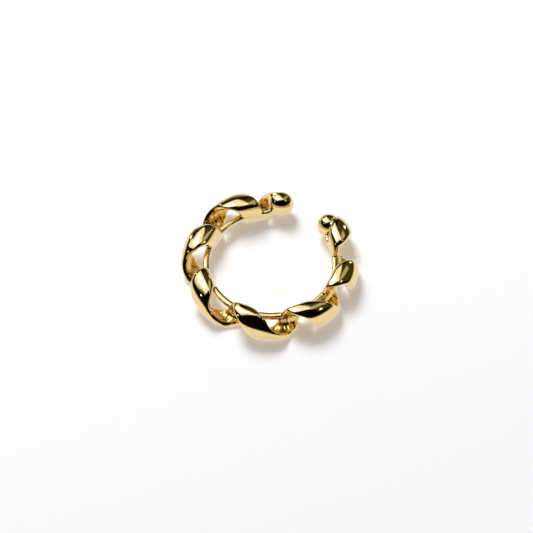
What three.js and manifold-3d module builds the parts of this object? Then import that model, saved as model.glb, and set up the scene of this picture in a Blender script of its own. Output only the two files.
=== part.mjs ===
// Ear cuff: an open ring cast in one piece and gold plated. A cushion-shaped strip winds
// round a hollow core and makes a scalloped band, a thin rail inside the ring ties the turns
// together, and a ball closes each end. Millimetres, +Z up, the cuff lying on its side with
// its lowest turns on z = 0 and the ring's axis on the Z axis. Angles are in degrees,
// counterclockwise seen from above, and the opening faces the +X +Y quarter.

import * as THREE from "three";
import { mergeVertices } from "three/addons/utils/BufferGeometryUtils.js";
import Module from "manifold-3d";

const wasm = await Module();
wasm.setup();

// ---- Driving dimensions ----

const BAND_HEIGHT = 2.16; // between the levels 1 and -1 of CORNERS below
const MID_HEIGHT = BAND_HEIGHT / 2;
const FOOT_FLAT = 0.06; // height of the cut that polishes the lowest crowns flat

const WAIST_INNER_RADIUS = 4.75; // the band is widest, inward and outward, at mid height
const WAIST_OUTER_RADIUS = 7.12;
const FACE_INNER_RADIUS = 5.02; // the domed top and bottom faces run between these
const FACE_OUTER_RADIUS = 6.78;

const STRIP_WALL = 0.62;
const STRIP_CROWN = 0.2; // rise of the outer face between edge and middle
const STRIP_BELLY = 0.06; // fall of the inner face between edge and middle
const CROWN_POWER = 2.2; // 2 is an ellipse, more is squarer
const BELLY_POWER = 4;
const BULGE = 2.2; // degrees that each edge swells outward half way over the top and the foot

const RAIL_RADIUS = 5.09;
const RAIL_WIDTH = 0.52;
const RAIL_DEPTH = 0.42;
const RAIL_POWER = 3.6;

const START_BALL = { angle: 82.2, ring: 5.9, height: 1.27, radius: 0.9, stretch: 1.16 };
const END_BALL = { angle: 398.1, ring: 5.85, height: 1.24, radius: 0.9, stretch: 1 };
const RAIL_START = 82.5;
const RAIL_END = 398.2;
const RAIL_SWING = 0.5; // how far each rail end turns outward to be inside its ball
const RAIL_SWING_SPAN = 12; // degrees

// The angles of the strip's trailing and leading edges at the four corners of each turn, in
// winding order: over the top, down the outside, under the foot and up the inside.
const TURNS = [
  { topInner: [70, 80], topOuter: [79, 92], footOuter: [82, 102], footInner: [93, 111] },
  { topInner: [100, 121], topOuter: [109, 131], footOuter: [122, 146], footInner: [138, 157] },
  { topInner: [145.5, 167], topOuter: [154, 177], footOuter: [167, 191], footInner: [183, 203] },
  { topInner: [191, 212], topOuter: [200, 222], footOuter: [213, 237], footInner: [229, 248] },
  { topInner: [237, 257], topOuter: [248, 269], footOuter: [258, 283], footInner: [274, 293] },
  { topInner: [282, 305], topOuter: [296, 317], footOuter: [302, 326], footInner: [317, 337] },
  { topInner: [325.5, 350], topOuter: [337, 358], footOuter: [342, 364], footInner: [358, 376] },
  { topInner: [370, 388], topOuter: [380, 398], footOuter: [391, 403], footInner: [394, 403] },
];

// How much further out than the plain band each turn reaches, in millimetres, how much softer
// than the others its corners are, and how far its leading edge falls at the top outer corner.
const REACH = [-0.22, 0.17, 0.07, 0.02, 0, -0.07, -0.1, 0.15];
const ROUND = [1.3, 1, 1, 1, 1, 1, 1, 1.3];
const FALL = [0, 0.1, 0.1, 0.1, 0.25, 0, 0, 0];

// Each corner's place in the ring's radial plane: `side` is 1 outside and -1 inside, `level`
// about 1 on top, 0 at the waist and about -1 at the foot, and `soft` the share of the way to
// the next corner at which its rounding ends, along the trailing and the leading edge.
const CORNERS = [
  { at: "topInner", side: -1, level: 1, soft: [0.35, 0.35] },
  { at: "top", side: 0, level: 1.14, soft: [0.5, 0.5] },
  { at: "topOuter", side: 1, level: 0.86, soft: [0.28, 0.42] },
  { at: "waist", side: 1, level: 0, soft: [0.5, 0.5] },
  { at: "footOuter", side: 1, level: -0.94, soft: [0.3, 0.42] },
  { at: "foot", side: 0, level: -1.06, soft: [0.5, 0.5] },
  { at: "footInner", side: -1, level: -0.94, soft: [0.35, 0.35] },
  { at: "waist", side: -1, level: 0, soft: [0.5, 0.5] },
];

const FIRST_CORNER = 2; // the winding leaves the start ball at the first turn's top outer corner
const LAST_CORNER = CORNERS.length * (TURNS.length - 1) + 4;

const SOFTEST = 0.48; // so that two corners' roundings never meet

const SECTION_POINTS = 14;
const CORNER_STEPS = 3;
const BALL_SEGMENTS = 18;
const RAIL_STEP = 4; // degrees
const RAIL_SIDES = 8;

// ---- Shared helpers ----

const mix = THREE.MathUtils.lerp;

function asSolid(geometry) {
  const bare = geometry.index ? geometry.toNonIndexed() : geometry.clone();
  for (const name of Object.keys(bare.attributes)) {
    if (name !== "position") bare.deleteAttribute(name);
  }
  const merged = mergeVertices(bare, 1e-5);
  const mesh = new wasm.Mesh({
    numProp: 3,
    vertProperties: new Float32Array(merged.attributes.position.array),
    triVerts: new Uint32Array(merged.index.array),
  });
  return new wasm.Manifold(mesh);
}

function asGeometry(solid) {
  const mesh = solid.getMesh();
  const geometry = new THREE.BufferGeometry();
  geometry.setAttribute("position", new THREE.BufferAttribute(mesh.vertProperties, 3));
  geometry.setIndex(new THREE.BufferAttribute(mesh.triVerts, 1));
  const flat = geometry.toNonIndexed();
  flat.computeVertexNormals();
  return flat;
}

function onRing(degrees, radius, height) {
  const angle = THREE.MathUtils.degToRad(degrees);
  return new THREE.Vector3(radius * Math.cos(angle), radius * Math.sin(angle), height);
}

// A closed skin over a row of rings of points, with a fan over each end.
function skin(rings) {
  const sides = rings[0].length;
  const positions = [];
  const face = (...points) => points.forEach((point) => positions.push(...point.toArray()));
  for (let row = 0; row + 1 < rings.length; row += 1) {
    for (let side = 0; side < sides; side += 1) {
      const next = (side + 1) % sides;
      const [a, b] = [rings[row][side], rings[row][next]];
      const [c, d] = [rings[row + 1][next], rings[row + 1][side]];
      face(a, b, c);
      face(a, c, d);
    }
  }
  const first = rings[0];
  const last = rings[rings.length - 1];
  for (let side = 1; side + 1 < sides; side += 1) {
    face(first[0], first[side + 1], first[side]);
    face(last[0], last[side], last[side + 1]);
  }
  const geometry = new THREE.BufferGeometry();
  geometry.setAttribute("position", new THREE.Float32BufferAttribute(positions, 3));
  return geometry;
}

// ---- The wound strip ----

// The angles of the strip's trailing and leading edges at a corner. Between two corners the
// strip is half way from one to the other, and over the top and the foot a little wider.
function edgeAngles(turn, corner) {
  if (TURNS[turn][corner.at]) return TURNS[turn][corner.at];
  if (corner.at === "waist") {
    const next = TURNS[Math.min(turn + 1, TURNS.length - 1)];
    const above = corner.side > 0 ? TURNS[turn].topOuter : next.topInner;
    const below = corner.side > 0 ? TURNS[turn].footOuter : TURNS[turn].footInner;
    return [0, 1].map((edge) => mix(above[edge], below[edge], 0.5));
  }
  const inner = TURNS[turn][`${corner.at}Inner`];
  const outer = TURNS[turn][`${corner.at}Outer`];
  return [-BULGE, BULGE].map((swell, edge) => mix(inner[edge], outer[edge], 0.5) + swell);
}

// One edge's [angle, outer radius, outer height, inner radius, inner height] at a corner: the
// places of the strip's outer and inner faces.
function cornerPoint(index, edge) {
  const turn = Math.floor(index / CORNERS.length);
  const corner = CORNERS[index % CORNERS.length];
  const atWaist = corner.level === 0;
  const inside = atWaist ? WAIST_INNER_RADIUS : FACE_INNER_RADIUS;
  const outside = (atWaist ? WAIST_OUTER_RADIUS : FACE_OUTER_RADIUS) + REACH[turn];
  const fall = edge === 1 && corner.at === "topOuter" ? FALL[turn] : 0;
  const radius = mix(inside, outside, (1 + corner.side) / 2);
  const height = MID_HEIGHT * (1 + corner.level - fall);
  const innerRadius = radius - corner.side * STRIP_WALL;
  const innerHeight = height - corner.level * STRIP_WALL;
  return [edgeAngles(turn, corner)[edge], radius, height, innerRadius, innerHeight];
}

function softness(index, edge) {
  const turn = Math.floor(index / CORNERS.length);
  return Math.min(SOFTEST, CORNERS[index % CORNERS.length].soft[edge] * ROUND[turn]);
}

// An edge's angle at a place along its corners, with every change of slope spread over the
// whole way between two corners.
function easyAngle(edge, along) {
  const index = THREE.MathUtils.clamp(Math.floor(along + 0.5), FIRST_CORNER, LAST_CORNER);
  const share = along + 0.5 - index;
  const [before, here, after] = [-1, 0, 1].map((step) => cornerPoint(index + step, edge)[0]);
  const start = (before + here) / 2;
  const end = (here + after) / 2;
  return mix(mix(start, here, share), mix(here, end, share), share);
}

function between(a, b, share) {
  return a.map((value, column) => mix(value, b[column], share));
}

// An edge's places round one corner: a quadratic curve from `soft` before it to `soft` after.
function cornerRow(index, edge, share) {
  const corner = cornerPoint(index, edge);
  const soft = softness(index, edge);
  const start = between(corner, cornerPoint(index - 1, edge), soft);
  const end = between(corner, cornerPoint(index + 1, edge), soft);
  const place = between(between(start, corner, share), between(corner, end, share), share);
  return [easyAngle(edge, index + soft * (2 * share - 1)), ...place.slice(1)];
}

function cushion(value, power) {
  return Math.sign(value) * Math.abs(value) ** (2 / power);
}

// The strip's cushion-shaped section between its two edges' places, as a ring of points.
function stripSection([trail, lead]) {
  const edgeDepth = STRIP_CROWN / STRIP_WALL;
  const bellyDepth = 1 - STRIP_BELLY / STRIP_WALL;
  const ring = [];
  for (let point = 0; point < SECTION_POINTS; point += 1) {
    const angle = (2 * Math.PI * point) / SECTION_POINTS;
    const power = Math.sin(angle) > 0 ? CROWN_POWER : BELLY_POWER;
    const across = cushion(Math.cos(angle), power);
    const rise = cushion(Math.sin(angle), power);
    const depth = rise > 0 ? mix(edgeDepth, 0, rise) : mix(edgeDepth, bellyDepth, -rise);
    const middle = between(trail, lead, (1 + across) / 2);
    const [degrees, outerRadius, outerHeight, innerRadius, innerHeight] = middle;
    const radius = mix(outerRadius, innerRadius, depth);
    ring.push(onRing(degrees, radius, mix(outerHeight, innerHeight, depth)));
  }
  return ring;
}

function woundStrip() {
  const sections = [];
  for (let index = FIRST_CORNER; index <= LAST_CORNER; index += 1) {
    for (let step = 0; step <= CORNER_STEPS; step += 1) {
      const share = step / CORNER_STEPS;
      sections.push(stripSection([0, 1].map((edge) => cornerRow(index, edge, share))));
    }
  }
  return asSolid(skin(sections));
}

// ---- The rail and the end balls ----

function rail() {
  const rings = [];
  const steps = Math.round((RAIL_END - RAIL_START) / RAIL_STEP);
  for (let step = 0; step <= steps; step += 1) {
    const degrees = mix(RAIL_START, RAIL_END, step / steps);
    const toEnd = Math.min(degrees - RAIL_START, RAIL_END - degrees);
    const swing = RAIL_SWING * (1 - THREE.MathUtils.smoothstep(toEnd, 0, RAIL_SWING_SPAN));
    const ring = [];
    for (let side = 0; side < RAIL_SIDES; side += 1) {
      const angle = (2 * Math.PI * (side + 0.5)) / RAIL_SIDES;
      const out = swing + (RAIL_WIDTH / 2) * cushion(Math.cos(angle), RAIL_POWER);
      const height = MID_HEIGHT - (RAIL_DEPTH / 2) * cushion(Math.sin(angle), RAIL_POWER);
      ring.push(onRing(degrees, RAIL_RADIUS + out, height));
    }
    rings.push(ring);
  }
  return asSolid(skin(rings));
}

// A ball stretched a little along the ring.
function endBall({ angle, ring, height, radius, stretch }) {
  const ball = new THREE.SphereGeometry(radius, BALL_SEGMENTS, BALL_SEGMENTS / 2);
  ball.rotateX(Math.PI / 2);
  ball.scale(stretch, 1, 1);
  ball.rotateZ(THREE.MathUtils.degToRad(angle + 90));
  ball.translate(...onRing(angle, ring, height).toArray());
  return asSolid(ball);
}

// ---- The casting ----

// Cuts the casting off level just above its lowest crowns and sets it down on z = 0.
function onFlatFeet(solid) {
  const side = 4 * WAIST_OUTER_RADIUS;
  const slab = new THREE.BoxGeometry(side, side, side);
  slab.translate(0, 0, side / 2 + FOOT_FLAT);
  return solid.intersect(asSolid(slab)).translate(0, 0, -FOOT_FLAT);
}

const casting = woundStrip().add(rail()).add(endBall(START_BALL)).add(endBall(END_BALL));

const goldPlate = new THREE.MeshStandardMaterial({
  name: "gold plate",
  color: 0xd9a93a,
  roughness: 0.12,
  metalness: 1,
});

const cuffBody = new THREE.Mesh(asGeometry(onFlatFeet(casting)), goldPlate);
cuffBody.name = "cuff_body";

const earCuff = new THREE.Group();
earCuff.name = "ear_cuff";
earCuff.add(cuffBody);

export default earCuff;
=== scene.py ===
import math

import bpy
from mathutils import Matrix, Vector


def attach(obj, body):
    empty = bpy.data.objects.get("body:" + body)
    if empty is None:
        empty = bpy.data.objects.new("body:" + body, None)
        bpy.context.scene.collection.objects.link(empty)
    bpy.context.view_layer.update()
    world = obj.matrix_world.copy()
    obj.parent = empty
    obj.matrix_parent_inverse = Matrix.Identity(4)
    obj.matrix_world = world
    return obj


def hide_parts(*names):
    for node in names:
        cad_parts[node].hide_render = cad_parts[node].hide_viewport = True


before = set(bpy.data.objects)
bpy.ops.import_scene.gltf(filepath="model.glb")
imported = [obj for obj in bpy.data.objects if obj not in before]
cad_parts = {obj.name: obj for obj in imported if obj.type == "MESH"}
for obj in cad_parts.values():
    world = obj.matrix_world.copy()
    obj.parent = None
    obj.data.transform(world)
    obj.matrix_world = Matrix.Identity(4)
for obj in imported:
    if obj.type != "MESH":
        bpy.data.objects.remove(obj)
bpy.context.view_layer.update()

# ---- The table it is laid on, and the lens above it ----
# A white card lies under the cuff. The camera looks down at it from the front, from far
# enough off that the ring hardly tapers.

MILLIMETRE = 0.001
scene = bpy.context.scene


def place(tree, kind, feeds=None, **settings):
    """Adds a node, sets its own settings and links or sets the inputs that it is given."""
    made = tree.nodes.new(kind)
    for name, value in settings.items():
        setattr(made, name, value)
    for socket, value in (feeds or {}).items():
        if isinstance(value, bpy.types.NodeSocket):
            tree.links.new(value, made.inputs[socket])
        else:
            made.inputs[socket].default_value = value
    return made


camera_height_angle = math.radians(53.6)
camera_distance = 148.7 * MILLIMETRE
aim = Vector((-0.35, -0.25, 0.93)) * MILLIMETRE
view_width = 41.95 * MILLIMETRE

lens = bpy.data.cameras.new("overhead_lens")
lens.sensor_width = 36.0
lens.lens = lens.sensor_width * camera_distance / view_width
lens.clip_start = 0.01
lens.clip_end = 10.0
camera = bpy.data.objects.new("overhead_camera", lens)
scene.collection.objects.link(camera)
towards_camera = Vector((0.0, -math.cos(camera_height_angle), math.sin(camera_height_angle)))
camera.location = aim + towards_camera * camera_distance
camera.rotation_euler = (math.pi / 2 - camera_height_angle, 0.0, 0.0)
scene.camera = camera

card_side = 3.0
half = card_side / 2
card_mesh = bpy.data.meshes.new("white_card")
card_mesh.from_pydata([(-half, -half, 0), (half, -half, 0), (half, half, 0), (-half, half, 0)],
                      [], [(0, 1, 2, 3)])
card = bpy.data.objects.new("white_card", card_mesh)
scene.collection.objects.link(card)
card_paint = bpy.data.materials.new("card_white")
card_paint.use_nodes = True
card_surface = card_paint.node_tree.nodes["Principled BSDF"]
card_surface.inputs["Base Color"].default_value = (0.8, 0.8, 0.8, 1)
card_surface.inputs["Roughness"].default_value = 0.9
card_surface.inputs["Specular IOR Level"].default_value = 0.2
card_surface.inputs["Emission Color"].default_value = (1.0, 0.87, 0.72, 1)
card_surface.inputs["Emission Strength"].default_value = 0.36

# The gold mirrors a card that is lit more evenly than the card under the cuff, where its own
# shadows lie.
evenness = 0.75
even_light = (0.9, 0.94, 1.35, 1)
card_tree = card_paint.node_tree
mirrored = place(card_tree, "ShaderNodeMath", {
    0: place(card_tree, "ShaderNodeLightPath").outputs["Is Glossy Ray"], 1: evenness},
    operation="MULTIPLY")
lit_evenly = place(card_tree, "ShaderNodeEmission", {"Color": even_light})
card_look = place(card_tree, "ShaderNodeMixShader", {
    0: mirrored.outputs[0], 1: card_surface.outputs[0], 2: lit_evenly.outputs[0]})
card_tree.links.new(card_look.outputs[0],
                    card_tree.nodes["Material Output"].inputs["Surface"])
card_mesh.materials.append(card_paint)

# ---- Studio light ----
# The room is dark but for soft boxes: a large one behind on the left, and small ones round it.
# The gold shows them as its highlights, and the dark between them as its black.

# The room's light by height, which is the sine of the angle above the horizon.
room_colours = {
    0.0: (0.8, 0.88, 1.3, 1), 0.16: (0.56, 0.62, 0.9, 1), 0.3: (0.06, 0.045, 0.02, 1),
    0.5: (0.003, 0.002, 0.001, 1),
}
backdrop_colour = (0.9, 0.9, 0.9, 1)

room = bpy.data.worlds.new("dark_studio")
room.use_nodes = True
room_tree = room.node_tree
room_light = room_tree.nodes["Background"]
direction = place(room_tree, "ShaderNodeSeparateXYZ", {
    0: place(room_tree, "ShaderNodeTexCoord").outputs["Generated"]})
walls = place(room_tree, "ShaderNodeValToRGB", {0: direction.outputs[2]})
stops = walls.color_ramp.elements
stops.remove(stops[1])
for height_up, colour in room_colours.items():
    stop = stops.new(height_up) if height_up else stops[0]
    stop.color = colour
room_tree.links.new(walls.outputs[0], room_light.inputs["Color"])
backdrop = place(room_tree, "ShaderNodeBackground", {"Color": backdrop_colour})
seen = place(room_tree, "ShaderNodeLightPath")
backed = place(room_tree, "ShaderNodeMixShader", {
    0: seen.outputs["Is Camera Ray"], 1: room_light.outputs[0], 2: backdrop.outputs[0]})
room_tree.links.new(backed.outputs[0], room_tree.nodes["World Output"].inputs["Surface"])
scene.world = room
scene.view_settings.view_transform = "Standard"

box_distance, core_distance = 0.4, 0.38


def soft_box(name, azimuth, elevation, wide, high, brightness, colour=(0.9, 0.95, 1.0),
             distance=box_distance):
    """A rectangular light aimed at the ring, with its angles and its spans in degrees, the
    azimuth anticlockwise from +X, and brightness the light that its face gives off."""
    light = bpy.data.lights.new(name, "AREA")
    light.shape = "RECTANGLE"
    light.size = 2 * distance * math.tan(math.radians(wide / 2))
    light.size_y = 2 * distance * math.tan(math.radians(high / 2))
    light.energy = brightness * math.pi * light.size * light.size_y
    light.color = colour
    lamp = bpy.data.objects.new(name, light)
    scene.collection.objects.link(lamp)
    turned, raised = math.radians(azimuth), math.radians(elevation)
    away = Vector((math.cos(turned) * math.cos(raised), math.sin(turned) * math.cos(raised),
                   math.sin(raised)))
    lamp.location = away * distance
    lamp.rotation_euler = away.to_track_quat("Z", "Y").to_euler()
    return lamp


key = soft_box("key_box", 112, 48, 22, 22, 16.8, (0.9, 0.95, 0.94))
key.visible_glossy = False
soft_box("back_left_box", 121, 56, 38, 46, 1.55, (0.64, 0.7, 1.0))
soft_box("back_left_core", 121, 56, 18, 26, 3.2, (0.7, 0.8, 1.0), core_distance)
soft_box("right_panel", 56, 58, 16, 30, 0.45)
soft_box("back_wall", 45, 50, 60, 44, 0.05, (1.0, 0.8, 0.4))

lamp_span, lamp_brightness = 4, 6.0
for name, azimuth, elevation in (("right_lamp", 12, 62), ("left_lamp", 185, 50),
                                 ("back_lamp", 60, 28), ("back_left_lamp", 128, 24)):
    soft_box(name, azimuth, elevation, lamp_span, lamp_span, lamp_brightness)

# ---- The wound strip ----
# The band is one cushion-shaped strip of wax, wound seven times round a core and cast hollow.
# Its outside is buffed to a mirror; inside the turns the skin stays as it came from the mould.

# Millimetres and degrees, as are the rail's and the balls' sizes. The crown is how far the
# strip's outer face rises between its edges, and the belly how far its inner face falls. A power
# of 2 is an ellipse, and more is squarer.
band_height = 2.16
waist_inner_radius, waist_outer_radius = 4.75, 7.12
face_inner_radius, face_outer_radius = 5.02, 6.78
strip_wall, strip_crown, strip_belly = 0.62, 0.2, 0.06
crown_power, belly_power = 2.2, 4.0
section_points = 64
bend_radius = 5.9

# The angles of the strip's trailing and leading edges at the four corners of each turn, how much
# further out than the plain band the turn reaches, how much softer its corners are, and how far
# the leading edge falls at the top outer corner.
turns = [
    dict(top_inner=(70, 80), top_outer=(79, 92),
         foot_outer=(82, 102), foot_inner=(93, 111), reach=-0.22, round=1.3, fall=0.0),
    dict(top_inner=(100, 121), top_outer=(109, 131),
         foot_outer=(122, 146), foot_inner=(138, 157), reach=0.17, round=1.0, fall=0.1),
    dict(top_inner=(145.5, 167), top_outer=(154, 177),
         foot_outer=(167, 191), foot_inner=(183, 203), reach=0.07, round=1.0, fall=0.1),
    dict(top_inner=(191, 212), top_outer=(200, 222),
         foot_outer=(213, 237), foot_inner=(229, 248), reach=0.02, round=1.0, fall=0.1),
    dict(top_inner=(237, 257), top_outer=(248, 269),
         foot_outer=(258, 283), foot_inner=(274, 293), reach=0.0, round=1.0, fall=0.25),
    dict(top_inner=(282, 305), top_outer=(296, 317),
         foot_outer=(302, 326), foot_inner=(317, 337), reach=-0.07, round=1.0, fall=0.0),
    dict(top_inner=(325.5, 350), top_outer=(337, 358),
         foot_outer=(342, 364), foot_inner=(358, 376), reach=-0.1, round=1.0, fall=0.0),
    dict(top_inner=(370, 388), top_outer=(380, 398),
         foot_outer=(391, 403), foot_inner=(394, 403), reach=0.15, round=1.3, fall=0.0),
]

# Side is 1 outside and -1 inside, level about 1 on top and -1 at the foot, and soft the share of
# the way to the next corner at which the rounding ends, along the trailing and leading edges.
# The bulge is how far each edge swells half way over the top and the foot.
corners = [
    dict(at="top_inner", side=-1, level=1.0, soft=(0.35, 0.35)),
    dict(at="top", side=0, level=1.14, soft=(0.5, 0.5)),
    dict(at="top_outer", side=1, level=0.86, soft=(0.28, 0.42)),
    dict(at="waist", side=1, level=0, soft=(0.5, 0.5)),
    dict(at="foot_outer", side=1, level=-0.94, soft=(0.3, 0.42)),
    dict(at="foot", side=0, level=-1.06, soft=(0.5, 0.5)),
    dict(at="foot_inner", side=-1, level=-0.94, soft=(0.35, 0.35)),
    dict(at="waist", side=-1, level=0, soft=(0.5, 0.5)),
]
bulge = 2.2
softest = 0.48


def mix(a, b, share):
    return a + (b - a) * share


def edge_angles(turn, corner):
    """The trailing and the leading edge's angles at a corner. Between two corners the strip is
    half way from one to the other, and on top and underneath a little wider."""
    if corner["at"] in turns[turn]:
        return turns[turn][corner["at"]]
    after = turns[min(turn + 1, len(turns) - 1)]
    if corner["at"] == "waist":
        outside = corner["side"] > 0
        start = turns[turn]["top_outer" if outside else "foot_inner"]
        end = turns[turn]["foot_outer"] if outside else after["top_inner"]
        return [mix(a, b, 0.5) for a, b in zip(start, end)]
    inner, outer = turns[turn][corner["at"] + "_inner"], turns[turn][corner["at"] + "_outer"]
    return [mix(a, b, 0.5) + swell for a, b, swell in zip(inner, outer, (-bulge, bulge))]


def corner_points(index):
    """The strip's four edge lines at one corner, unrolled: outer trailing, outer leading,
    inner trailing, inner leading."""
    turn, corner = index // len(corners), corners[index % len(corners)]
    side, level = corner["side"], corner["level"]
    inner, outer = (waist_inner_radius, waist_outer_radius) if level == 0 else (
        face_inner_radius, face_outer_radius)
    radius = mix(inner, outer + turns[turn]["reach"], (1 + side) / 2)
    falls = (0.0, turns[turn]["fall"] if corner["at"] == "top_outer" else 0.0)
    points = []
    for wall_depth in (0.0, strip_wall):
        for edge, fall in zip(edge_angles(turn, corner), falls):
            along = math.radians(edge) * bend_radius
            height = band_height / 2 * (1 + level - fall) - level * wall_depth
            points.append(Vector((along, radius - side * wall_depth, height)))
    return points


# The winding leaves the start ball at the first turn's top outer corner, and goes into the end
# ball at the last turn's bottom outer corner.
first_corner, last_corner = 2, len(corners) * (len(turns) - 1) + 4


def easy_angle(line, along):
    """How far round an edge line is at a place along its corners, with every change of slope
    spread over the whole way between two corners, and how fast that grows."""
    index = min(max(math.floor(along + 0.5), first_corner), last_corner)
    share = along + 0.5 - index
    before, here, after = (corner_points(step)[line].x for step in (index - 1, index, index + 1))
    start, end = (before + here) / 2, (here + after) / 2
    place_now = mix(mix(start, here, share), mix(here, end, share), share)
    return place_now, 2 * mix(here - start, end - here, share)


def softness(index, line):
    """The share of the way to the next corner at which an edge line's rounding ends."""
    soft = corners[index % len(corners)]["soft"][line % 2] * turns[index // len(corners)]["round"]
    return min(softest, soft)


rows_between_bends = 8
guides = bpy.data.curves.new("strip_edges", "CURVE")
guides.dimensions = "3D"
guides.resolution_u = rows_between_bends
for line in range(4):
    bends = []
    for index in range(first_corner, last_corner + 1):
        corner, soft = corner_points(index)[line], softness(index, line)
        bends.append((index - soft, mix(corner, corner_points(index - 1)[line], soft), corner))
        bends.append((index + soft, mix(corner, corner_points(index + 1)[line], soft), corner))
    spline = guides.splines.new("BEZIER")
    spline.bezier_points.add(len(bends) - 1)
    for number, (point, (along, end, corner)) in enumerate(zip(spline.bezier_points, bends)):
        neighbours = bends[max(number - 1, 0)], bends[min(number + 1, len(bends) - 1)]
        point.handle_left_type = point.handle_right_type = "FREE"
        angle, slope = easy_angle(line, along)
        point.co = (angle, end.y, end.z)
        for side, (there, far_end, far_corner) in zip(("left", "right"), neighbours):
            turning = far_corner == corner
            handle = mix(end, corner, 2 / 3) if turning else mix(end, far_end, 1 / 3)
            handle.x = angle + slope * (there - along) / 3
            setattr(point, "handle_" + side, handle)
strip = bpy.data.objects.new("wound_strip", guides)
scene.collection.objects.link(strip)


def new_tree(name, outputs, **inputs):
    """A Geometry Nodes tree with named inputs; gives the tree, its inputs and its output node."""
    tree = bpy.data.node_groups.new(name, "GeometryNodeTree")
    kinds = {float: "NodeSocketFloat", int: "NodeSocketInt", tuple: "NodeSocketVector",
             str: "NodeSocketGeometry", type(None): "NodeSocketMaterial"}
    for label, value in inputs.items():
        socket = tree.interface.new_socket(label.replace("_", " ").capitalize(), in_out="INPUT",
                                           socket_type=kinds[type(value)])
        if type(value) in (float, int, tuple):
            socket.default_value = value
    tree.interface.new_socket(outputs, in_out="OUTPUT", socket_type="NodeSocketGeometry")
    start = tree.nodes.new("NodeGroupInput")
    return tree, dict(zip(inputs, start.outputs)), tree.nodes.new("NodeGroupOutput")


def maths(tree, operation, *values):
    return place(tree, "ShaderNodeMath", dict(enumerate(values)), operation=operation).outputs[0]


def mixed(tree, share, a, b):
    return place(tree, "ShaderNodeMix", {0: share, 4: a, 5: b}, data_type="VECTOR").outputs[1]


def mixed_number(tree, share, a, b):
    return place(tree, "ShaderNodeMix", {0: share, 2: a, 3: b}).outputs[0]


def bent_round(tree, geometry, place_along, radius_of_bend):
    """Bends unrolled stock round the core: x runs round it, y is the radius, z the height."""
    along = place(tree, "ShaderNodeSeparateXYZ", {0: place_along})
    angle = maths(tree, "DIVIDE", along.outputs[0], radius_of_bend)
    bent = place(tree, "ShaderNodeCombineXYZ", {
        0: maths(tree, "MULTIPLY", along.outputs[1], maths(tree, "COSINE", angle)),
        1: maths(tree, "MULTIPLY", along.outputs[1], maths(tree, "SINE", angle)),
        2: along.outputs[2]})
    return place(tree, "GeometryNodeSetPosition",
                 {"Geometry": geometry, "Position": bent.outputs[0]}).outputs[0]


def cushioned(tree, value, power):
    """Turns a circle's coordinate into that of a squarer or rounder cushion shape."""
    size = maths(tree, "POWER", maths(tree, "ABSOLUTE", value), maths(tree, "DIVIDE", 2.0, power))
    return maths(tree, "MULTIPLY", maths(tree, "SIGN", value), size)


winding, given, finished = new_tree(
    "wound_strip", "Mesh", edge_lines="geometry", rows=rows_between_bends,
    section_points=section_points, wall=strip_wall, crown=strip_crown, belly=strip_belly,
    crown_power=crown_power, belly_power=belly_power, bend_radius=bend_radius)
rows_along = place(winding, "GeometryNodeResampleCurve", {"Curve": given["edge_lines"]},
                   mode="EVALUATED").outputs[0]
tube = place(winding, "GeometryNodeMeshCylinder", {
    "Vertices": given["section_points"],
    "Side Segments": maths(winding, "SUBTRACT", given["rows"], 1.0),
    "Radius": 1.0, "Depth": 2.0}, fill_type="TRIANGLE_FAN")
on_tube = place(winding, "ShaderNodeSeparateXYZ",
                {0: place(winding, "GeometryNodeInputPosition").outputs[0]})
share_along = maths(winding, "MULTIPLY", maths(winding, "ADD", on_tube.outputs[2], 1.0), 0.5)
row = maths(winding, "ROUND", maths(winding, "MULTIPLY", share_along,
                                    maths(winding, "SUBTRACT", given["rows"], 1.0)))
line_points = [
    place(winding, "GeometryNodeSampleIndex", {
        "Geometry": rows_along, "Value": place(winding, "GeometryNodeInputPosition").outputs[0],
        "Index": maths(winding, "MULTIPLY_ADD", given["rows"], float(line), row)},
        data_type="FLOAT_VECTOR", clamp=True).outputs[0]
    for line in range(4)]
power = mixed_number(winding, maths(winding, "GREATER_THAN", on_tube.outputs[1], 0.0),
                     given["belly_power"], given["crown_power"])
across = cushioned(winding, on_tube.outputs[0], power)
rise = cushioned(winding, on_tube.outputs[1], power)
share_across = maths(winding, "MULTIPLY", maths(winding, "ADD", across, 1.0), 0.5)
edge_depth = maths(winding, "DIVIDE", given["crown"], given["wall"])
belly_depth = maths(winding, "SUBTRACT", 1.0,
                    maths(winding, "DIVIDE", given["belly"], given["wall"]))
sunk = maths(winding, "MAXIMUM", maths(winding, "MULTIPLY", rise, -1.0), 0.0)
not_risen = maths(winding, "SUBTRACT", 1.0, maths(winding, "MAXIMUM", rise, 0.0))
depth = maths(winding, "MULTIPLY", not_risen,
              mixed_number(winding, sunk, edge_depth, belly_depth))
outer_skin = mixed(winding, share_across, line_points[0], line_points[1])
inner_skin = mixed(winding, share_across, line_points[2], line_points[3])
unrolled = mixed(winding, depth, outer_skin, inner_skin)
winding.links.new(bent_round(winding, tube.outputs[0], unrolled, given["bend_radius"]),
                  finished.inputs[0])

# ---- The rail ----
# A thin flattened wire runs round the inside at half height. It holds the turns apart in the
# wax, and is cast in one with them.

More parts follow.
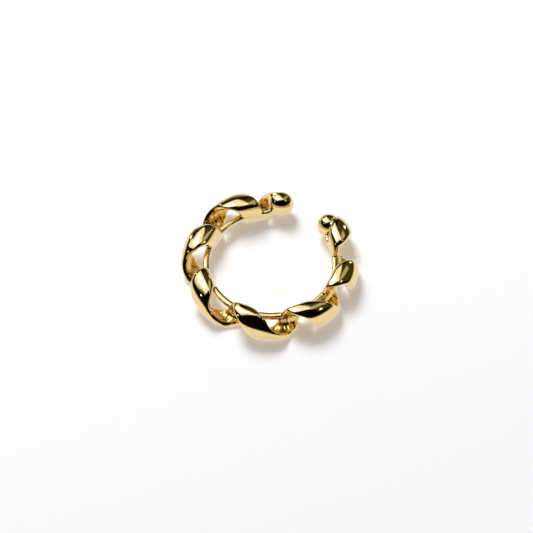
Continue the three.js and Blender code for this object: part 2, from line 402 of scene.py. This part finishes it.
rail_radius, rail_width, rail_depth, rail_power = 5.09, 0.52, 0.42, 3.6
rail_start, rail_end = 82.5, 398.2
rail_swing, rail_swing_span = 0.5, 12  # each end turns outward to be inside its ball
rail_sides, rail_rows = 24, 240
rail_length = math.radians(rail_end - rail_start) * bend_radius
rail_tree, given, finished = new_tree(
    "rail", "Mesh", length=rail_length, start=math.radians(rail_start) * bend_radius,
    radius=rail_radius, width=rail_width, depth=rail_depth, height=band_height / 2,
    power=rail_power, bend_radius=bend_radius, swing=rail_swing,
    swing_share=rail_swing_span / (rail_end - rail_start))
wire = place(rail_tree, "GeometryNodeMeshCylinder", {
    "Vertices": rail_sides, "Side Segments": rail_rows, "Radius": 1.0, "Depth": 1.0},
    fill_type="TRIANGLE_FAN")
on_wire = place(rail_tree, "ShaderNodeSeparateXYZ",
                {0: place(rail_tree, "GeometryNodeInputPosition").outputs[0]})
share_along = maths(rail_tree, "ADD", on_wire.outputs[2], 0.5)
to_end = maths(rail_tree, "SUBTRACT", 0.5, maths(rail_tree, "ABSOLUTE", on_wire.outputs[2]))
swung_out = place(rail_tree, "ShaderNodeMapRange", {
    "Value": to_end, "From Max": given["swing_share"], "To Min": given["swing"], "To Max": 0.0},
    interpolation_type="SMOOTHSTEP")
straight = place(rail_tree, "ShaderNodeCombineXYZ", {
    0: maths(rail_tree, "MULTIPLY_ADD", share_along, given["length"], given["start"]),
    1: maths(rail_tree, "MULTIPLY_ADD", cushioned(rail_tree, on_wire.outputs[0], given["power"]),
             maths(rail_tree, "DIVIDE", given["width"], 2.0),
             maths(rail_tree, "ADD", given["radius"], swung_out.outputs[0])),
    2: maths(rail_tree, "MULTIPLY_ADD", cushioned(rail_tree, on_wire.outputs[1], given["power"]),
             maths(rail_tree, "DIVIDE", given["depth"], -2.0), given["height"])})
rail_tree.links.new(bent_round(rail_tree, wire.outputs[0], straight.outputs[0],
                               given["bend_radius"]), finished.inputs[0])

# ---- The two end balls ----
# A ball closes each end of the strip, so that neither end can scratch the ear. They are wax
# balls pressed on to the strip's ends before casting, which leaves them a little squarer than
# round.

start_ball = dict(angle=82.2, ring=5.9, height=1.27, radius=0.9, stretch=1.16)
end_ball = dict(angle=398.1, ring=5.85, height=1.24, radius=0.9, stretch=1.0)
ball_power = 2.5
ball_subdivisions = 6


def ball_place(ball):
    angle = math.radians(ball["angle"])
    return Vector((ball["ring"] * math.cos(angle), ball["ring"] * math.sin(angle), ball["height"]))


ball_tree, given, finished = new_tree(
    "end_ball", "Mesh", centre=(0.0, 0.0, 0.0), radius=end_ball["radius"],
    stretch=end_ball["stretch"], turned=0.0, pressed_power=ball_power)
round_ball = place(ball_tree, "GeometryNodeMeshIcoSphere",
                   {"Radius": 1.0, "Subdivisions": ball_subdivisions})
on_ball = place(ball_tree, "GeometryNodeInputPosition").outputs[0]
level_part = place(ball_tree, "ShaderNodeVectorMath", {0: on_ball, 1: (1.0, 1.0, 0.0)},
                   operation="MULTIPLY").outputs[0]
level_reach = place(ball_tree, "ShaderNodeVectorMath", {0: level_part},
                    operation="LENGTH").outputs["Value"]
upright = place(ball_tree, "ShaderNodeSeparateXYZ", {0: on_ball}).outputs[2]
spread = maths(ball_tree, "ADD", maths(ball_tree, "POWER", level_reach, given["pressed_power"]),
               maths(ball_tree, "POWER", maths(ball_tree, "ABSOLUTE", upright),
                     given["pressed_power"]))
reach = maths(ball_tree, "DIVIDE", given["radius"], maths(
    ball_tree, "POWER", spread, maths(ball_tree, "DIVIDE", 1.0, given["pressed_power"])))
pressed = place(ball_tree, "GeometryNodeSetPosition", {
    "Geometry": round_ball.outputs[0],
    "Position": place(ball_tree, "ShaderNodeVectorMath", {0: on_ball, "Scale": reach},
                      operation="SCALE").outputs[0]})
longer = place(ball_tree, "ShaderNodeCombineXYZ", {0: given["stretch"], 1: 1.0, 2: 1.0})
heading = place(ball_tree, "ShaderNodeCombineXYZ", {2: given["turned"]})
moved_ball = place(ball_tree, "GeometryNodeTransform", {
    "Geometry": pressed.outputs[0], "Translation": given["centre"],
    "Rotation": heading.outputs[0], "Scale": longer.outputs[0]})
ball_tree.links.new(moved_ball.outputs[0], finished.inputs[0])

# ---- The casting ----
# Strip, rail and balls are one casting in brass. The metal leaves a small fillet wherever two
# of them meet, and the lowest crowns are stoned off to feet that stand flat on a table.

grain, fillet, foot_flat = 0.06, 0.1, 0.06
grid_band = 4  # grains kept on each side of the skin
evening_passes = 3
on_wax_within, off_wax_beyond = 0.012, 0.035  # where the skin is the waxes' own, or a fillet's
casting, given, finished = new_tree(
    "casting", "Mesh", edge_lines="geometry", rows=rows_between_bends,
    start_ball=(0.0, 0.0, 0.0), end_ball=(0.0, 0.0, 0.0), grain=grain, fillet=fillet,
    foot_flat=foot_flat, gold=None)
waxes = [
    place(casting, "GeometryNodeGroup", {0: given["edge_lines"], 1: given["rows"]},
          node_tree=winding),
    place(casting, "GeometryNodeGroup", node_tree=rail_tree),
    *(place(casting, "GeometryNodeGroup", {
        0: given[name], 1: ball["radius"], 2: ball["stretch"],
        3: math.radians(ball["angle"] + 90)}, node_tree=ball_tree)
      for name, ball in (("start_ball", start_ball), ("end_ball", end_ball))),
]
grids = [place(casting, "GeometryNodeMeshToSDFGrid", {
    "Mesh": wax.outputs[0], "Voxel Size": given["grain"], "Band Width": grid_band})
    for wax in waxes]
united = place(casting, "GeometryNodeSDFGridBoolean", operation="UNION")
for grid in reversed(grids):
    casting.links.new(grid.outputs[0], united.inputs[-1])
swollen = place(casting, "GeometryNodeGridToMesh",
                {"Grid": united.outputs[0], "Threshold": given["fillet"], "Adaptivity": 0.0})
swollen_grid = place(casting, "GeometryNodeMeshToSDFGrid", {
    "Mesh": swollen.outputs[0], "Voxel Size": given["grain"], "Band Width": grid_band})
poured = place(casting, "GeometryNodeGridToMesh", {
    "Grid": swollen_grid.outputs[0],
    "Threshold": maths(casting, "MULTIPLY", given["fillet"], -1.0), "Adaptivity": 0.0})
all_waxes = place(casting, "GeometryNodeJoinGeometry")
for wax in waxes:
    casting.links.new(wax.outputs[0], all_waxes.inputs[0])
here = place(casting, "GeometryNodeInputPosition")
even = place(casting, "GeometryNodeBlurAttribute", {
    "Value": here.outputs[0], "Iterations": evening_passes}, data_type="FLOAT_VECTOR")
evened = place(casting, "GeometryNodeSetPosition",
               {"Geometry": poured.outputs[0], "Position": even.outputs[0]})
nearest = place(casting, "GeometryNodeProximity", {0: all_waxes.outputs[0]},
                target_element="FACES")
off_wax = place(casting, "ShaderNodeMapRange", {
    "Value": nearest.outputs["Distance"], "From Min": on_wax_within, "From Max": off_wax_beyond,
    "To Min": 1.0, "To Max": 0.0}, interpolation_type="SMOOTHSTEP")
on_wax = place(casting, "GeometryNodeSetPosition", {
    "Geometry": evened.outputs[0],
    "Position": mixed(casting, off_wax.outputs[0], here.outputs[0], nearest.outputs["Position"])})
cast_point = place(casting, "ShaderNodeSeparateXYZ", {0: here.outputs[0]})
footed = place(casting, "GeometryNodeSetPosition", {
    "Geometry": on_wax.outputs[0],
    "Position": place(casting, "ShaderNodeCombineXYZ", {
        0: cast_point.outputs[0], 1: cast_point.outputs[1],
        2: maths(casting, "MAXIMUM", maths(casting, "SUBTRACT", cast_point.outputs[2],
                                           given["foot_flat"]), 0.0)}).outputs[0]})
in_metres = place(casting, "GeometryNodeTransform",
                  {"Geometry": footed.outputs[0], "Scale": (MILLIMETRE,) * 3})
smoothed = place(casting, "GeometryNodeSetShadeSmooth", {"Geometry": in_metres.outputs[0]})
real = place(casting, "GeometryNodeRealizeInstances", {"Geometry": smoothed.outputs[0]})
coloured = place(casting, "GeometryNodeSetMaterial",
                 {"Geometry": real.outputs[0], "Material": given["gold"]})
casting.links.new(coloured.outputs[0], finished.inputs[0])

# ---- The gold plate ----
# A few micrometres of yellow gold on polished brass. Its outside is a mirror with the faint
# waviness of hand polishing; down inside the turns, where no wheel reached, it is duller and
# ridged as it came out of the mould, and its colour there is painted a deeper orange, a painted
# reflection of gold light bouncing between the turns.

gold = bpy.data.materials.new("gold_plate")
gold.use_nodes = True
plate = gold.node_tree
surface = plate.nodes["Principled BSDF"]
surface.inputs["Metallic"].default_value = 1.0

# Each colour and roughness as a pair, between which it wanders over the surface.
outside_golds = (0.95, 0.715, 0.26, 1), (0.93, 0.675, 0.22, 1)
# The inside pair is painted light: its deeper orange stands in for gold light reflected between
# the turns.
painted_bounce_golds = (0.88, 0.57, 0.12, 1), (0.95, 0.67, 0.2, 1)
buffed_roughness, cast_roughness, speck_roughness = (0.06, 0.11), (0.2, 0.3), 0.04
patches_per_mm, waves_per_mm, specks_per_mm, ridges_per_mm = 0.45, 1.4, 22.0, 0.5
wave_height, ridge_height = 0.0025 * MILLIMETRE, 0.2 * MILLIMETRE
ridge_circle = bend_radius * MILLIMETRE * 5
ridge_drift = (0.3, 0.3, 1.0)  # how fast the ridges change outward and upward

spot = place(plate, "ShaderNodeTexCoord").outputs["Object"]
facing = place(plate, "ShaderNodeNewGeometry").outputs["Normal"]


def vector_maths(operation, *values):
    """One step of vector arithmetic in the gold's nodes."""
    made = place(plate, "ShaderNodeVectorMath", dict(enumerate(values)), operation=operation)
    return made.outputs["Value" if operation in ("DOT_PRODUCT", "LENGTH") else "Vector"]


def noise(vector, per_millimetre, detail, roughness=0.5):
    """Even cloudiness from 0 to 1."""
    return place(plate, "ShaderNodeTexNoise", {
        "Vector": vector, "Scale": per_millimetre / MILLIMETRE, "Detail": detail,
        "Roughness": roughness}).outputs["Fac"]


def ramp(value, low, high, to_low=0.0, to_high=1.0):
    """Eases from one value to another while its input grows from low to high."""
    return place(plate, "ShaderNodeMapRange", {
        "Value": value, "From Min": low, "From Max": high, "To Min": to_low,
        "To Max": to_high}, interpolation_type="SMOOTHSTEP").outputs[0]


def tint(share, plain, other):
    """Mixes two colours."""
    return place(plate, "ShaderNodeMix", {0: share, 6: plain, 7: other},
                 data_type="RGBA").outputs[2]


# How far the surface looks inward, at the middle of the wound tube: 1 inside the turns.
flat_spot = vector_maths("MULTIPLY", spot, (1.0, 1.0, 0.0))
tube_middle = vector_maths("MULTIPLY_ADD", vector_maths("NORMALIZE", flat_spot),
                           (bend_radius * MILLIMETRE,) * 3,
                           (0.0, 0.0, band_height / 2 * MILLIMETRE))
to_middle = vector_maths("NORMALIZE", vector_maths("SUBTRACT", tube_middle, spot))
inward = ramp(vector_maths("DOT_PRODUCT", to_middle, facing), 0.15, 0.6)

# The ridges inside run out from the middle of the ring, so they are laid out on a wide circle.
ridge_place = vector_maths("MULTIPLY_ADD", vector_maths("NORMALIZE", flat_spot),
                           (ridge_circle,) * 3, vector_maths("MULTIPLY", spot, ridge_drift))
ridges = noise(ridge_place, ridges_per_mm, 1.0)

patches = noise(spot, patches_per_mm, 2.0)
polish = noise(spot, waves_per_mm, 3.0, 0.6)
specks = noise(spot, specks_per_mm, 2.0)
outside_gold = tint(ramp(patches, 0.35, 0.65), *outside_golds)
# Inside the turns the colour is the painted deeper orange of reflected gold light; the roughness
# and ridges there are the cast skin's own.
painted_bounce_gold = tint(ramp(ridges, 0.35, 0.65), *painted_bounce_golds)
plate.links.new(tint(inward, outside_gold, painted_bounce_gold), surface.inputs["Base Color"])
buffed = maths(plate, "ADD", ramp(polish, 0.3, 0.75, *buffed_roughness),
               ramp(specks, 0.62, 0.75, 0.0, speck_roughness))
plate.links.new(mixed_number(plate, inward, buffed, ramp(ridges, 0.3, 0.7, *cast_roughness)),
                surface.inputs["Roughness"])

inner_ridges = maths(plate, "MULTIPLY", ridges, inward)
relief = maths(plate, "ADD", maths(plate, "MULTIPLY", polish, wave_height),
               maths(plate, "MULTIPLY", inner_ridges, ridge_height))
bumped = place(plate, "ShaderNodeBump", {"Height": relief, "Distance": 1.0, "Strength": 1.0})
plate.links.new(bumped.outputs[0], surface.inputs["Normal"])

# ---- The finished cuff ----
# The casting, plated. It is one piece of metal with nothing that moves, so it is one mesh, and
# it takes the place of the plainer solid.

pour = strip.modifiers.new("casting", "NODES")
pour.node_group = casting
sizes = {
    "Rows": (len(guides.splines[0].bezier_points) - 1) * guides.resolution_u + 1,
    "Start ball": ball_place(start_ball), "End ball": ball_place(end_ball),
    "Grain": grain, "Fillet": fillet, "Foot flat": foot_flat, "Gold": gold,
}
for socket in casting.interface.items_tree:
    if socket.in_out == "INPUT" and socket.name in sizes:
        pour[socket.identifier] = sizes[socket.name]
bpy.context.view_layer.update()
shaped = strip.evaluated_get(bpy.context.evaluated_depsgraph_get())
cuff_mesh = bpy.data.meshes.new_from_object(shaped)
cuff_mesh.materials.clear()
cuff_mesh.materials.append(gold)
cuff = bpy.data.objects.new("cast_cuff", cuff_mesh)
scene.collection.objects.link(cuff)
bpy.data.objects.remove(strip)

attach(cuff, "root")
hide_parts("cuff_body")
